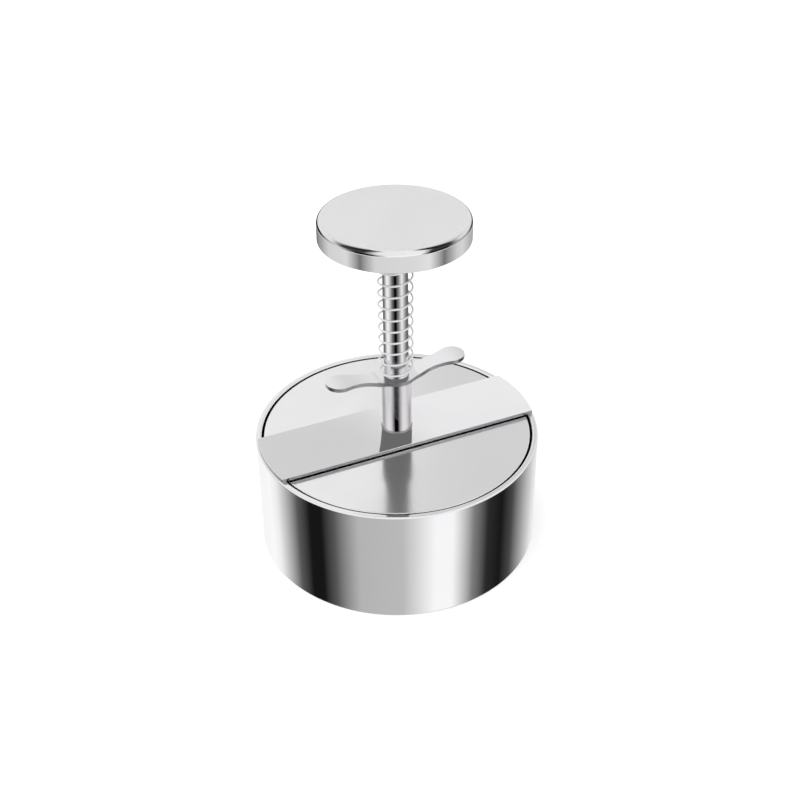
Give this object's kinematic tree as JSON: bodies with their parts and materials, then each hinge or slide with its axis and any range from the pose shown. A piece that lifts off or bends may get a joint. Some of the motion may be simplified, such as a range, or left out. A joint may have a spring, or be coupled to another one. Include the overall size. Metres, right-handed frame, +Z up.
{
  "type": "burger press",
  "caption": "Stainless steel hand press for burger patties: a ring mould with a sprung plunger, palm knob, winged finger plate and flat pressing disc.",
  "frame": {"origin": "centre of the ring's foot, on the table", "axes": "+Z up along the push rod, +X along the bridge bar, +Y across it"},
  "size_m": [0.11, 0.11, 0.1385],
  "materials": {
    "mirror_steel": "mirror-polished stainless steel",
    "satin_steel": "finely polished stainless sheet with a soft sheen",
    "spring_wire": "drawn stainless spring wire",
    "fastener_steel": "plain machined stainless steel"
  },
  "bodies": {
    "frame": {"mould_ring": "mirror_steel", "bridge_bar": "satin_steel", "guide_sleeve": "mirror_steel", "finger_plate": "satin_steel"},
    "spring": {"return_spring": "spring_wire"},
    "plunger": {"push_rod": "mirror_steel", "press_plate": "satin_steel", "plate_screw": "fastener_steel", "knob_base": "mirror_steel", "knob_cap": "satin_steel", "knob_nut": "fastener_steel"}
  },
  "joints": [
    {"name": "plunger_slide", "type": "slide", "parent": "frame", "child": "spring", "axis": [0, 0, -1], "range_m": [0, 0.042], "stiffness_N_per_m": 160, "springref_m": -0.03, "deforming": ["return_spring"]},
    {"name": "plunger_turn", "type": "hinge", "parent": "spring", "child": "plunger", "pos_m": [0, 0, 0.1], "axis": [0, 0, 1], "continuous": true}
  ]
}
